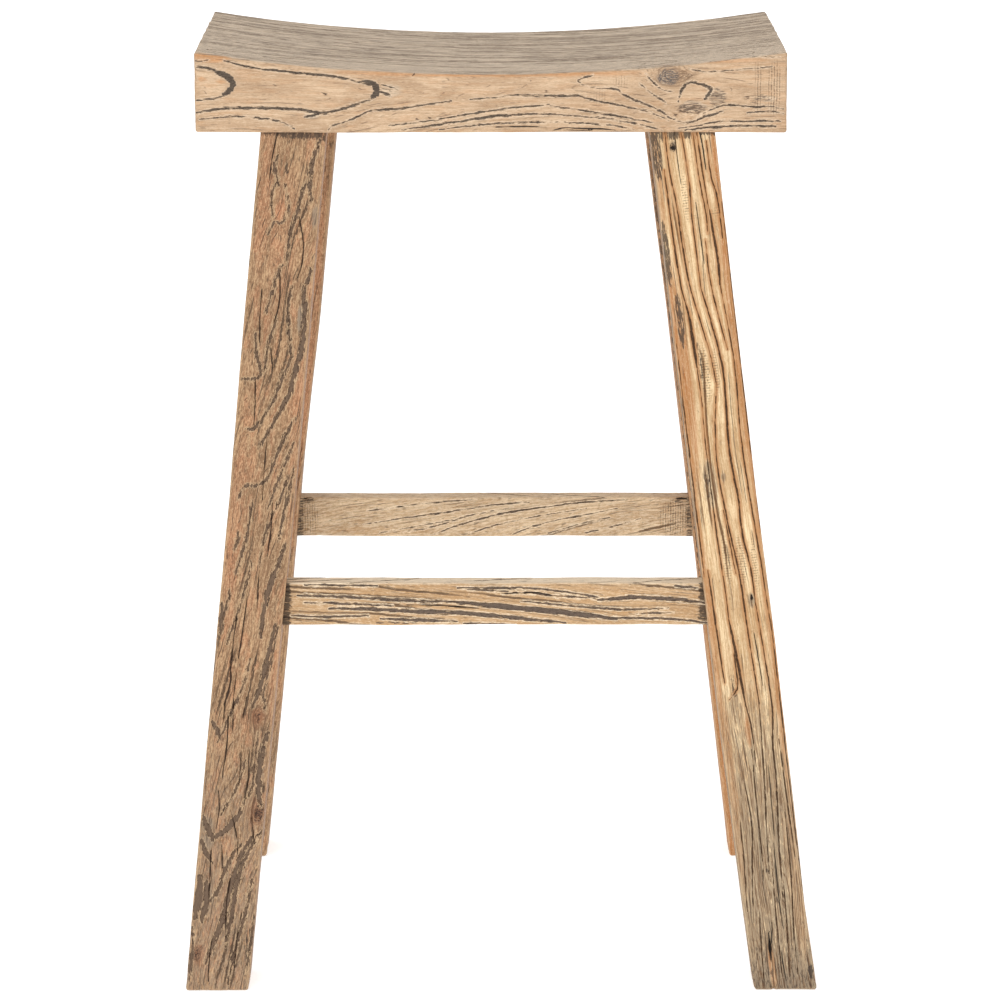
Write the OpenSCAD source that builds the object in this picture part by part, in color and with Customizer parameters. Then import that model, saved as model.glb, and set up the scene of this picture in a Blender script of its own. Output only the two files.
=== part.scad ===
// Bar stool in solid reclaimed wood: a saddle seat, four splayed legs and four stretchers.
// The front stretcher is the footrest. All joints are glued blind mortises and tenons.
// Seen from the front, -X is the left and +X the right, -Y is the front, +Z is up,
// and the floor is Z = 0. The origin is the middle of the footprint on the floor.

/* [Seat] */
// Height of the seat's two ends above the floor
seat_height = 762; // [640:1:900]
// Length of the seat from end to end
seat_length = 468; // [390:1:562]
// Depth of the seat from front to back
seat_depth = 264; // [220:1:320]
// Thickness of the seat at its two ends
seat_thickness = 64.5; // [54:0.5:80]
// Depth of the saddle at the middle of the seat
saddle_dip = 18; // [8:0.5:20]
// Flat taken off the seat's lower and upright edges
seat_arris = 2.5; // [1:0.5:5]

/* [Legs] */
// Side of a leg's square section
leg_section = 50.8; // [42:0.1:61]
// Distance from the seat's end to a leg's outer face, under the seat
leg_end_inset = 55; // [30:1:75]
// Distance from the seat's front or back face to a leg's face, under the seat
leg_face_inset = 3; // [0:0.5:12]
// Lean of the two left legs towards the left, in degrees
left_splay = 5.7; // [3:0.1:9]
// Lean of the two right legs towards the right, in degrees
right_splay = 7.1; // [3:0.1:9]
// Lean of the front legs forward and of the back legs backward, in degrees
fore_splay = 5.7; // [3:0.1:8]
// Flat taken off a leg's long edges
leg_arris = 2; // [1:0.5:4]

/* [Stretchers] */
// Height of the footrest's top above the floor; the back stretcher's is the same
footrest_height = 334; // [270:1:400]
// Height of a stretcher's section
stretcher_height = 35; // [30:0.5:44]
// Thickness of a stretcher
stretcher_thickness = 20; // [16:0.5:24]
// Distance from a leg's outer face in to the front or back stretcher, at mid height
stretcher_recess = 9.5; // [4:0.5:14]
// Upright gap between the footrest's top and the underside of the side stretchers
side_stretcher_gap = 10; // [6:1:40]
// Flat taken off a stretcher's long edges
stretcher_arris = 1.5; // [0.5:0.5:3]

/* [Joints] */
// Side of the square tenon on top of a leg
leg_tenon_section = 30; // [22:0.5:36]
// Length of the tenon on top of a leg, measured upright
leg_tenon_length = 32; // [24:1:38]
// Height of a stretcher's tenon
rail_tenon_height = 24; // [18:0.5:28]
// Thickness of a stretcher's tenon
rail_tenon_thickness = 10; // [8:0.5:13]
// Length of a stretcher's tenon from its shoulder, at mid height
rail_tenon_length = 28; // [20:1:32]
// Gap for glue on each side of a tenon
glue_gap = 0.15; // [0.1:0.05:0.3]
// Gap left for glue at the end of a tenon
end_gap = 1.5; // [1:0.5:3]

/* [Hidden] */

LEFT = -1;
RIGHT = 1;
FRONT = -1;
BACK = 1;

// How far a cutting shape runs past the face that it cuts
overcut = 10;
// Height of the seat's underside, where the legs' shoulders sit
underside = seat_height - seat_thickness;
// Radius of the cylinder that hollows the saddle from end to end
saddle_radius = (pow(seat_length / 2, 2) + pow(saddle_dip, 2)) / (2 * saddle_dip);
// Place of each leg's centre line where it meets the seat, before the frame is centred
leg_top_x = seat_length / 2 - leg_end_inset - leg_section / 2;
leg_top_y = seat_depth / 2 - leg_face_inset - leg_section / 2;
// Heights of the stretchers' middles
end_rail_z = footrest_height - stretcher_height / 2;
side_rail_z = footrest_height + side_stretcher_gap + stretcher_height / 2;
// Length of a leg's blank, long enough to be cut off level at both ends
leg_blank_length = (underside + 2 * overcut) / cos(fore_splay) / cos(max(left_splay, right_splay)) + leg_section;

// Sideways lean of the legs on one side
function side_splay(side) = side == LEFT ? left_splay : right_splay;
// Tilt about X that gives a leg its fore-and-aft lean once it also leans sideways
function fore_tilt(side) = atan(tan(fore_splay) * cos(side_splay(side)));
// How far a leg's outer face stands from its centre line in a level section
function leg_half_x(side) = leg_section / 2 / cos(side_splay(side));
function leg_half_y(side) = leg_section / 2 / cos(fore_tilt(side));
// Distance of a leg's centre line from the middle of the seat, at a height above the floor
function leg_x(side, z) = leg_top_x + tan(side_splay(side)) * (underside - z);
function leg_y(z) = leg_top_y + tan(fore_splay) * (underside - z);
// Reach of the feet on one side, which sets the middle of the footprint
function foot_reach(side) = leg_x(side, 0) + leg_half_x(side);
// Middle of the front or back stretcher's thickness, from the middle of the seat
end_rail_y = leg_y(end_rail_z) + leg_half_y(LEFT) - stretcher_recess - stretcher_thickness / 2;
// Shift that brings the middle of the footprint to the origin
footprint_shift = (foot_reach(LEFT) - foot_reach(RIGHT)) / 2;

// Rectangle centred on the origin with its corners cut off at 45 degrees
module eased_rectangle(size_x, size_y, arris) {
    half_x = size_x / 2;
    half_y = size_y / 2;
    polygon([[half_x - arris, -half_y], [half_x, arris - half_y],
             [half_x, half_y - arris], [half_x - arris, half_y],
             [arris - half_x, half_y], [-half_x, half_y - arris],
             [-half_x, arris - half_y], [arris - half_x, -half_y]]);
}

// Places a shape along a leg's centre line, with its own Z = 0 at the seat's underside
module along_leg(side, end) {
    translate([side * leg_top_x, end * leg_top_y, underside])
        rotate([end * fore_tilt(side), -side * side_splay(side), 0])
            children();
}

// Everything between two heights
module level_slab(z_low, z_high) {
    reach = seat_length + seat_depth + underside;
    translate([-reach, -reach, z_low])
        cube([2 * reach, 2 * reach, z_high - z_low]);
}

// Leg without its joints, cut level at the floor and under the seat
module leg_blank(side, end, arris) {
    intersection() {
        along_leg(side, end)
            translate([0, 0, leg_section - leg_blank_length])
                linear_extrude(leg_blank_length)
                    eased_rectangle(leg_section, leg_section, arris);
        level_slab(0, underside);
    }
}

// Tenon on top of a leg, or with its gaps the mortise that takes it
module leg_tenon(side, end, gap, beyond) {
    section = leg_tenon_section + 2 * gap;
    intersection() {
        along_leg(side, end)
            translate([-section / 2, -section / 2, -leg_section])
                cube([section, section, 2 * leg_section + leg_tenon_length]);
        level_slab(underside - overcut, underside + leg_tenon_length + beyond);
    }
}

// Tenon of the front or back stretcher, or with its gaps the mortise that takes it
module end_rail_tenon(side, end, gap, beyond) {
    shoulder = leg_x(side, end_rail_z) - leg_half_x(side);
    span = rail_tenon_length + beyond + overcut;
    translate([side * (shoulder - overcut + span / 2), end * end_rail_y, end_rail_z])
        cube([span, rail_tenon_thickness + 2 * gap, rail_tenon_height + 2 * gap], center = true);
}

// Tenon of a side stretcher, or with its gaps the mortise that takes it
module side_rail_tenon(side, end, gap, beyond) {
    shoulder = leg_y(side_rail_z) - leg_half_y(side);
    span = rail_tenon_length + beyond + overcut;
    translate([side * leg_x(side, side_rail_z), end * (shoulder - overcut + span / 2), side_rail_z])
        cube([rail_tenon_thickness + 2 * gap, span, rail_tenon_height + 2 * gap], center = true);
}

// Whole leg: shouldered tenon above and two stretcher mortises
module leg(side, end) {
    translate([footprint_shift, 0, 0]) {
        difference() {
            leg_blank(side, end, leg_arris);
            end_rail_tenon(side, end, glue_gap, end_gap);
            side_rail_tenon(side, end, glue_gap, end_gap);
        }
        leg_tenon(side, end, 0, 0);
    }
}

// Front or back stretcher, its shoulders cut to the legs' inner faces
module end_rail(end) {
    left_end = -leg_x(LEFT, end_rail_z);
    right_end = leg_x(RIGHT, end_rail_z);
    translate([footprint_shift, 0, 0]) {
        difference() {
            translate([left_end, end * end_rail_y, end_rail_z])
                rotate([90, 0, 90])
                    linear_extrude(right_end - left_end)
                        eased_rectangle(stretcher_thickness, stretcher_height, stretcher_arris);
            for (side = [LEFT, RIGHT])
                leg_blank(side, end, leg_arris);
        }
        for (side = [LEFT, RIGHT])
            end_rail_tenon(side, end, 0, 0);
    }
}

// Side stretcher from a front leg to the back leg behind it
module side_rail(side) {
    reach = leg_y(side_rail_z);
    translate([footprint_shift, 0, 0]) {
        difference() {
            translate([side * leg_x(side, side_rail_z), reach, side_rail_z])
                rotate([90, 0, 0])
                    linear_extrude(2 * reach)
                        eased_rectangle(stretcher_thickness, stretcher_height, stretcher_arris);
            for (end = [FRONT, BACK])
                leg_blank(side, end, leg_arris);
        }
        for (end = [FRONT, BACK])
            side_rail_tenon(side, end, 0, 0);
    }
}

// Saddle seat with a blind mortise over each leg
module seat() {
    color("#D2AF86")
        translate([footprint_shift, 0, 0])
            difference() {
                intersection() {
                    translate([0, 0, underside])
                        linear_extrude(seat_thickness)
                            eased_rectangle(seat_length, seat_depth, seat_arris);
                    // The end view and the front view each ease the lower edges
                    translate([0, 0, underside + seat_thickness])
                        rotate([90, 0, 90])
                            linear_extrude(seat_length + 2 * overcut, center = true)
                                eased_rectangle(seat_depth, 2 * seat_thickness, seat_arris);
                    translate([0, 0, underside + seat_thickness])
                        rotate([90, 0, 0])
                            linear_extrude(seat_depth + 2 * overcut, center = true)
                                eased_rectangle(seat_length, 2 * seat_thickness, seat_arris);
                }
                translate([0, 0, seat_height - saddle_dip + saddle_radius])
                    rotate([90, 0, 0])
                        cylinder(h = seat_depth + 2 * overcut, r = saddle_radius, center = true, $fn = 720);
                for (side = [LEFT, RIGHT])
                    for (end = [FRONT, BACK])
                        leg_tenon(side, end, glue_gap, end_gap);
            }
}

module front_left_leg() {
    color("#A88467") leg(LEFT, FRONT);
}

module front_right_leg() {
    color("#C8A279") leg(RIGHT, FRONT);
}

module back_left_leg() {
    color("#B08A6A") leg(LEFT, BACK);
}

module back_right_leg() {
    color("#BE9468") leg(RIGHT, BACK);
}

module front_stretcher() {
    color("#C4A078") end_rail(FRONT);
}

module back_stretcher() {
    color("#C6AE8D") end_rail(BACK);
}

module left_side_stretcher() {
    color("#BFA27E") side_rail(LEFT);
}

module right_side_stretcher() {
    color("#C2A681") side_rail(RIGHT);
}

seat();
front_left_leg();
front_right_leg();
back_left_leg();
back_right_leg();
front_stretcher();
back_stretcher();
left_side_stretcher();
right_side_stretcher();
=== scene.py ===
"""Bar stool in old elm, rebuilt around its CAD frame.

Every timber is a dense mesh that follows its CAD solid, with worn edges, open grain, cracks and
knots as real relief. Each timber is worked out in its own coordinates, in millimetres: l along
the grain, a across it on the face towards the viewer, and b in from that face. The figure of the
wood is one field of growth rings, and the lines on the visible faces are a few listed curves.
"""
import itertools
import math
from dataclasses import dataclass

import bpy
import numpy as np
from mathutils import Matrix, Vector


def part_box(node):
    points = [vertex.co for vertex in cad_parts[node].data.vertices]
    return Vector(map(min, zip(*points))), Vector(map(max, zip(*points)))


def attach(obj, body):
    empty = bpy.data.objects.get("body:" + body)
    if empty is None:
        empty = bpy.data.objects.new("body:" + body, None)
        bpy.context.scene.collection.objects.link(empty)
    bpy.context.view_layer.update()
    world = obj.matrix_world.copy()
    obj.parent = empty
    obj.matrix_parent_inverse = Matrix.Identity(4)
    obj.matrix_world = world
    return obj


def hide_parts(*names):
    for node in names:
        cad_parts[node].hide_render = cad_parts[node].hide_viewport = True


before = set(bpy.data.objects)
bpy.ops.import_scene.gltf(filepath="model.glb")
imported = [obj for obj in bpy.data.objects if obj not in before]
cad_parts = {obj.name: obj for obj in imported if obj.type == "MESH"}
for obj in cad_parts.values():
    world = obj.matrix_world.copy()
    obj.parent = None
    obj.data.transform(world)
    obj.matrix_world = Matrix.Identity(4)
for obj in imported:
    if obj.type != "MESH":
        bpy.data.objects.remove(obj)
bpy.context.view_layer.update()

MM = 0.001
FAR = 30.0        # a seam distance that means no seam nearby, in mm
LEG_SINK = 4.0    # how far a leg's top goes on above the seat's underside, in mm
RAIL_SINK = 5.0   # how far a stretcher's end goes on inside a leg, in mm
KNOT_REACH = 3.2  # how far out a knot darkens the wood, in knot sizes
SEAM_LAYERS = ("seam_a", "seam_b", "seam_c", "crack")
HASH_KEYS = (374761393, 668265263, 1440662683, 1013904223, 1274126177)

# Depths of the relief, in mm
SWELL_DEPTH = 0.30
FIBRE_DEPTH = 0.05
RING_DEPTH = 0.22
SEAM_DEPTH = 0.65
CRACK_DEPTH = 1.1
SAW_DEPTH = 0.12

# Studio
FLOOR_GLOW = 0.55
SKY_STRENGTH = 0.84
SUN_STRENGTH = 0.95
CAMERA_LENS = 151.9
CAMERA_PLACE = (-0.0123, -3.4611, 1.2027)
CAMERA_TILT = 76.397
CAMERA_TURN = -0.207


# ---------------------------------------------------------------- noise

def smooth_noise(points, seed):
    """Smooth noise from -1 to 1 at an (n, 3) array of points, with one lattice cell per unit."""
    cell = np.floor(points).astype(np.int64)
    part = points - cell
    ease = part * part * part * (part * (part * 6.0 - 15.0) + 10.0)
    total = np.zeros(len(points))
    for corner in itertools.product((0, 1), repeat=3):
        key = (cell[:, 0] + corner[0]) * HASH_KEYS[0] + (cell[:, 1] + corner[1]) * HASH_KEYS[1]
        key += (cell[:, 2] + corner[2]) * HASH_KEYS[2] + seed * HASH_KEYS[3]
        key = (key ^ (key >> 13)) * HASH_KEYS[4]
        key ^= key >> 16
        weight = np.ones(len(points))
        for axis in range(3):
            weight = weight * (ease[:, axis] if corner[axis] else 1.0 - ease[:, axis])
        total += weight * ((key & 0xFFFF) / 32767.5 - 1.0)
    return total


def layered_noise(points, seed, layers=3):
    """Several octaves of smooth_noise, each half as strong and twice as fine."""
    total = np.zeros(len(points))
    for layer in range(layers):
        total += 0.5 ** layer * smooth_noise(points * 2.0 ** layer, seed + 17 * layer)
    return total


def stretched(points, along, across):
    """Points scaled for noise whose cells are along mm long and across mm wide."""
    return points / np.array([along, across, across])


def ramp(value, low, high):
    """0 below low, 1 above high and a smooth rise between; low may be above high."""
    t = np.clip((value - low) / (high - low), 0.0, 1.0)
    return t * t * (3.0 - 2.0 * t)


# ---------------------------------------------------------------- lattices

# (step, edge step, edge) along l, a and b, in mm
SEAT_STEPS = ((2.5, 0.8, 6), (0.85, 0.6, 5), (3.0, 0.6, 6))
LEG_STEPS = ((2.9, 0.8, 5), (0.5, 0.45, 4), (1.0, 0.5, 4))
RAIL_STEPS = ((1.6, 0.8, 4), (0.6, 0.4, 3), (0.8, 0.4, 3))


def steps(low, high, step, edge_step, edge):
    """Coordinates from low to high, edge_step apart within edge of each end, step apart between."""
    rim = max(1, round(edge / edge_step))
    middle = max(1, round((high - low - 2 * edge) / step))
    return np.concatenate([np.linspace(low, low + edge, rim, endpoint=False),
                           np.linspace(low + edge, high - edge, middle, endpoint=False),
                           np.linspace(high - edge, high, rim + 1)])


def box_lattice(axes):
    """Points, quads and UV corners of a box's surface, cut at the coordinates in axes (l, a, b)."""
    counts = [len(values) for values in axes]
    spans = [values[-1] - values[0] for values in axes]
    gap = 0.004
    strip = (1.0 - 5 * gap) / (2 * spans[1] + 2 * spans[2])
    top = 0.88
    column = gap
    keys, quads, uvs = [], [], []
    for axis in (2, 1, 0):
        u_axis, v_axis = [k for k in range(3) if k != axis]
        for end in (0, counts[axis] - 1):
            u, v = np.meshgrid(np.arange(counts[u_axis]), np.arange(counts[v_axis]), indexing="ij")
            index = np.full(u.shape + (3,), end)
            index[..., u_axis] = u
            index[..., v_axis] = v
            key = (index[..., 0] * counts[1] + index[..., 1]) * counts[2] + index[..., 2]
            u_part = ((axes[u_axis] - axes[u_axis][0]) / spans[u_axis])[u]
            v_part = ((axes[v_axis] - axes[v_axis][0]) / spans[v_axis])[v]
            if axis:
                width = spans[v_axis] * strip
                uv = np.stack([column + v_part * width, gap + u_part * (top - 2 * gap)], -1)
                column += width + gap
            else:
                side = gap if end == 0 else 0.5 + gap
                uv = np.stack([side + v_part * (0.5 - 2 * gap), top + u_part * (1 - gap - top)], -1)
            corners = [(slice(None, -1), slice(None, -1)), (slice(1, None), slice(None, -1)),
                       (slice(1, None), slice(1, None)), (slice(None, -1), slice(1, None))]
            outward = (end > 0) == (axis != 1)
            if not outward:
                corners.reverse()
            quads.append(np.stack([key[c] for c in corners], -1).reshape(-1, 4))
            uvs.append(np.stack([uv[c] for c in corners], -2).reshape(-1, 4, 2))
            keys.append(key.ravel())
    used = np.unique(np.concatenate(keys))
    cells = np.stack([used // (counts[1] * counts[2]), used // counts[2] % counts[1], used % counts[2]], -1)
    points = np.stack([axes[k][cells[:, k]] for k in range(3)], -1)
    quads = np.searchsorted(used, np.concatenate(quads))
    return points, quads, np.concatenate(uvs)


def rounded(points, low, high, radius):
    """Box points moved onto rounded edges, and the outward direction at each."""
    radius = radius[:, None]
    inner = np.clip(points, low + radius, high - radius)
    out = points - inner
    out /= np.linalg.norm(out, axis=1, keepdims=True)
    return inner + out * radius, out


# ---------------------------------------------------------------- seams

def curve_through(knots, spacing=1.5):
    """Samples along a smooth curve through (l, a, width) control points."""
    knots = np.array(knots, float)
    if len(knots) == 2:
        knots = np.array([knots[0], knots.mean(0), knots[1]])
    padded = np.vstack([2 * knots[0] - knots[1], knots, 2 * knots[-1] - knots[-2]])
    samples = []
    for i in range(1, len(padded) - 2):
        p0, p1, p2, p3 = padded[i - 1:i + 3]
        count = max(2, int(np.hypot(*(p2 - p1)[:2]) / spacing))
        t = np.linspace(0, 1, count, endpoint=False)[:, None]
        samples.append(0.5 * (2 * p1 + (p2 - p0) * t + (2 * p0 - 5 * p1 + 4 * p2 - p3) * t ** 2
                              + (3 * p1 - p0 - 3 * p2 + p3) * t ** 3))
    samples.append(knots[-1:])
    return np.vstack(samples)


def curve_offsets(flat, curve):
    """Signed offset from a curve, half its width there and the plain distance, at (l, a) points."""
    away = flat[:, None, :] - curve[None, :, :2]
    nearest = (away ** 2).sum(2).argmin(1)
    away = away[np.arange(len(flat)), nearest]
    tangent = np.gradient(curve[:, :2], axis=0)
    tangent = (tangent / np.linalg.norm(tangent, axis=1, keepdims=True))[nearest]
    along = np.maximum(np.abs((away * tangent).sum(1)) - 0.8, 0)
    across = tangent[:, 0] * away[:, 1] - tangent[:, 1] * away[:, 0]
    offset = np.where(across < 0, -1.0, 1.0) * np.hypot(across, along)
    return offset, curve[nearest, 2] / 2 - 1.5 * along, np.abs(offset)


def seam_field(flat, curves):
    """(signed offset, half width, presence) of the nearest curve. The sign keeps fine lines crisp
    between the mesh's points, and presence is 0 where the sign may flip from curve to curve."""
    field = np.zeros((len(flat), 3))
    best = np.full(len(flat), FAR)
    for curve in curves:
        low = curve[:, :2].min(0) - 6.0
        high = curve[:, :2].max(0) + 6.0
        close = np.nonzero(((flat > low) & (flat < high)).all(1))[0]
        for chunk in np.array_split(close, max(1, len(close) // 4000)):
            offset, half, distance = curve_offsets(flat[chunk], curve)
            nearer = distance < best[chunk]
            best[chunk[nearer]] = distance[nearer]
            field[chunk[nearer], 0] = offset[nearer]
            field[chunk[nearer], 1] = half[nearer]
    field[:, 2] = ramp(best, 4.2, 3.0)
    return field


def curve_gap(one, other):
    away = one[:, None, :2] - other[None, :, :2]
    return np.sqrt((away ** 2).sum(2).min())


def sorted_groups(curves, count, clear=7.5):
    """Shares curves out so that those in one group are well apart where that can be done."""
    groups = [[] for _ in range(count)]
    for curve in curves:
        gaps = [min((curve_gap(curve, other) for other in group), default=FAR) for group in groups]
        free = [k for k in range(count) if gaps[k] > clear]
        groups[free[0] if free else int(np.argmax(gaps))].append(curve)
    return groups


def seam_edge(field):
    """Distance in mm from the edge of the nearest seam, negative inside it."""
    return np.abs(field[:, 0]) - field[:, 1] + 9.0 * (1.0 - field[:, 2])


# ---------------------------------------------------------------- figure

class Figure:
    """The growth rings of one timber, as a field that can be read at any point in it."""

    def __init__(self, wood):
        self.wood = wood
        self.anchors = None
        self.weights = None

    def bent(self, points):
        """Points with the pith's slow wander added."""
        line = np.zeros_like(points)
        line[:, 0] = points[:, 0] / 170.0
        bent = points.copy()
        seed = self.wood.seed
        bent[:, 1] += self.wood.wander * smooth_noise(line, seed)
        bent[:, 2] += self.wood.wander * smooth_noise(line + 40.5, seed)
        for axis in (1, 2):
            bent[:, axis] += 0.5 * layered_noise(stretched(points, 60, 11), seed + 2 + axis)
        return bent

    def knot_push(self, points):
        """Extra rings that wrap around each knot."""
        push = np.zeros(len(points))
        for l, a, b, size, rings in self.wood.knots:
            away = (points - (l, a, b)) / (2.6 * size, 1.5 * size, 2.2 * size)
            push += rings * np.exp(-(away ** 2).sum(1))
        return push

    def plain(self, points):
        bent = self.bent(points)
        radius = np.hypot(bent[:, 1] - self.wood.pith[0], bent[:, 2] - self.wood.pith[1])
        return (radius + self.wood.taper * bent[:, 0]) / self.wood.ring + self.knot_push(points)

    def kernel(self, points):
        """Influence of each anchor at each point, long along the grain and short across it."""
        scale = np.array([70.0, 9.0, 14.0])
        away = np.linalg.norm(points[:, None, :] / scale - self.anchors[None, :, :] / scale, axis=2)
        return np.exp(-1.7 * away) * (1 + 1.7 * away)

    def follow(self, curves):
        """Bends the rings so that they run along the given curves, which lie on the face b = 0."""
        anchors, wanted = [], []
        for curve in curves:
            picked = curve[::8]
            spot = np.column_stack([picked[:, :2], np.zeros(len(picked))])
            here = self.plain(spot)
            anchors.append(spot)
            wanted.append(here.mean() - here)
        anchors = np.vstack(anchors)
        wanted = np.concatenate(wanted)
        self.anchors = anchors
        system = self.kernel(anchors) + 0.08 * np.eye(len(anchors))
        self.weights = np.linalg.solve(system, wanted)

    def phase(self, points):
        value = self.plain(points)
        if self.anchors is not None:
            for chunk in np.array_split(np.arange(len(points)), max(1, len(points) // 20000)):
                value[chunk] += self.kernel(points[chunk]) @ self.weights
        return value

    def read(self, points, out):
        """Phase, the width of one ring on the surface in mm, and coordinates along the grain."""
        value = self.phase(points)
        slope = np.zeros_like(points)
        probe = 0.5
        for axis in range(3):
            moved = points.copy()
            moved[:, axis] += probe
            slope[:, axis] = (self.phase(moved) - value) / probe
        slope -= out * (slope * out).sum(1, keepdims=True)
        pitch = 1.0 / np.maximum(np.linalg.norm(slope, axis=1), 0.03)
        bent = self.bent(points)
        pith = self.wood.pith
        turn = np.arctan2(bent[:, 2] - pith[1], bent[:, 1] - pith[0])
        reach = np.hypot(pith[0], pith[1]) + 10.0
        grain = np.column_stack([points[:, 0], value * self.wood.ring, turn * reach])
        return value, pitch, grain


def ring_boldness(phase, points, seed, share):
    """How dark the ring line nearest each point is, from 0 to 1, fading in and out along it."""
    number = np.round(phase)
    spot = np.column_stack([number * 7.31, points[:, 0] / 75.0, points[:, 1] / 40.0 + points[:, 2] / 40.0])
    return ramp(smooth_noise(spot, seed), 1.0 - 2.0 * share, 1.3 - 2.0 * share)


def patches(flat, spots):
    """Sum of soft elliptical patches, each (l, a, half_length, half_width, strength)."""
    total = np.zeros(len(flat))
    for l, a, half_length, half_width, strength in spots:
        away = ((flat[:, 0] - l) / half_length) ** 2 + ((flat[:, 1] - a) / half_width) ** 2
        total = np.maximum(total, strength * ramp(away, 1.35, 0.45))
    return total


# ---------------------------------------------------------------- timbers

@dataclass
class Wood:
    """The look of one timber. Curves and spots lie on its face b = 0, in mm."""
    seed: int
    pith: tuple
    ring: float = 3.6
    taper: float = 0.0
    wander: float = 2.0
    knots: tuple = ()
    seams: tuple = ()
    cracks: tuple = ()
    grey: tuple = ()
    warm: tuple = ()
    # dark spots: real stains, and painted shade at the tops of the legs and at the ends of the stretchers
    dark: tuple = ()
    saw: tuple = ()
    pits: tuple = ()
    bow: tuple = ()
    bold: tuple = (0.3, 0.5)
    edge: float = 2.2
    ragged: float = 0.35
    faces: tuple = ()    # (axis, side, grey, warm, dark): the tone of a whole face
    weather: tuple = ()  # (from l, to l, grey, warm, dark): the tone grows along the timber


@dataclass
class Place:
    """Where a timber lies: a corner point in metres, its unit l, a and b directions, its box in mm."""
    origin: np.ndarray
    axes: np.ndarray
    low: np.ndarray
    high: np.ndarray

    def world(self, points):
        return self.origin + MM * points @ self.axes


def node_points(node):
    return np.array([v.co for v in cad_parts[node].data.vertices], float)


def seat_place():
    low, high = (np.array(corner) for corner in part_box("seat"))
    origin = np.array([(low[0] + high[0]) / 2, low[1], low[2]])
    size = (high - low) / MM
    axes = np.array([[1.0, 0, 0], [0, 0, 1.0], [0, 1.0, 0]])
    return Place(origin, axes, np.array([-size[0] / 2, 0, 0]), np.array([size[0] / 2, size[2], size[1]]))


def leg_place(node):
    """A leg's own frame, found from the middles of its level sections under the seat and on the floor."""
    points = node_points(node)
    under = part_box("seat")[0].z
    middles = []
    for height in (under, points[:, 2].min()):
        level = points[np.abs(points[:, 2] - height) < 1e-4]
        middles.append((level.min(0) + level.max(0)) / 2)
    down = middles[1] - middles[0]
    length = np.linalg.norm(down) / MM
    down = down / np.linalg.norm(down)
    right = np.cross(down, (0, 1.0, 0))
    right = right / np.linalg.norm(right) * np.sign(right[0])
    back = np.cross(down, right)
    back = back * np.sign(back[1])
    body = points[points[:, 2] < under - 0.01] - middles[1]
    half_width = np.abs(body @ right).max() / MM
    half_depth = np.abs(body @ back).max() / MM
    origin = middles[0] - MM * half_depth * back
    axes = np.array([down, right, back])
    low = np.array([-LEG_SINK, -half_width, 0])
    return Place(origin, axes, low, np.array([length, half_width, 2 * half_depth]))


def rail_place(node, leg_a, leg_b):
    """A stretcher's own frame; its ends sink a little way into the two legs."""
    low, high = (np.array(corner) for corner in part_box(node))
    along = 0 if high[0] - low[0] > high[1] - low[1] else 1
    middle = (low + high) / 2
    reach = []
    for leg, sign in ((leg_a, 1), (leg_b, -1)):
        t = (leg.origin[2] - middle[2]) / -leg.axes[0][2]
        centre = leg.origin + leg.axes[0] * t + MM * leg.high[2] / 2 * leg.axes[2]
        reach.append(centre[along] + sign * MM * (leg.high[2] / 2 - RAIL_SINK))
    l_axis = np.eye(3)[along]
    b_axis = np.eye(3)[1 - along]
    if along == 1 and middle[0] > 0:
        b_axis = -b_axis
    face = low if b_axis.sum() > 0 else high
    origin = face * np.abs(b_axis) + middle * np.abs(l_axis)
    origin[2] = low[2]
    half = (reach[1] - reach[0]) / 2 / MM
    origin[along] = (reach[0] + reach[1]) / 2
    size = (high - low) / MM
    return Place(origin, np.array([l_axis, (0, 0, 1.0), b_axis]),
                 np.array([-half, 0, 0]), np.array([half, size[2], size[1 - along]]))


def level_cut(points, place):
    """Slides every point along the timber so that ends square to it become level."""
    lift = points[:, 1] * place.axes[1][2] + (points[:, 2] - place.high[2] / 2) * place.axes[2][2]
    shift = -lift / place.axes[0][2]
    moved = points.copy()
    moved[:, 0] += shift
    return moved


def bowed(points, place, bow):
    """Moves the two side faces by the (l, left shift, right shift) entries of bow."""
    if not bow:
        return points
    table = np.array(bow, float)
    across = (points[:, 1] - place.low[1]) / (place.high[1] - place.low[1])
    left = np.interp(points[:, 0], table[:, 0], table[:, 1])
    right = np.interp(points[:, 0], table[:, 0], table[:, 2])
    moved = points.copy()
    moved[:, 1] += left + (right - left) * across
    return moved


def hollowed(points, place):
    """The saddle: a shallow curve from end to end, its depth taken from the CAD seat."""
    heights = (node_points("seat")[:, 2] - place.origin[2]) / MM
    middle = heights[heights > 0.6 * place.high[1]].min()
    sag = (place.high[1] - middle) * (1 - (points[:, 0] / place.high[0]) ** 2)
    moved = points.copy()
    moved[:, 1] *= 1 - np.maximum(sag, 0) / place.high[1]
    right_end_growth = 2.2
    moved[:, 0] += right_end_growth * ramp(points[:, 0], 150, 234)
    return moved


# ---------------------------------------------------------------- building

def relief(points, wood, fields):
    """How far each surface point stands out from or sinks below the plain timber, in mm."""
    height = SWELL_DEPTH * layered_noise(stretched(points, 90, 16), wood.seed + 50)
    height += FIBRE_DEPTH * layered_noise(stretched(fields["grain"], 22, 1.2), wood.seed + 51, 2)
    height -= RING_DEPTH * fields["bold"] * ramp(fields["line"], 0.9, 0.2)
    for name in SEAM_LAYERS[:3]:
        height -= SEAM_DEPTH * ramp(seam_edge(fields[name]), 0.5, -0.9)
    height -= CRACK_DEPTH * ramp(seam_edge(fields["crack"]), 0.5, -0.35)
    height -= SAW_DEPTH * fields["mark"][:, 1] * (0.5 + 0.5 * np.sin(points[:, 0] * 2.6))
    for l, a, b, size_l, size_a, depth in wood.pits:
        away = ((points - (l, a, b)) / (size_l, size_a, 2.0 + size_a)) ** 2
        height -= depth * ramp(away.sum(1), 1.3, 0.5)
    return height


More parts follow.
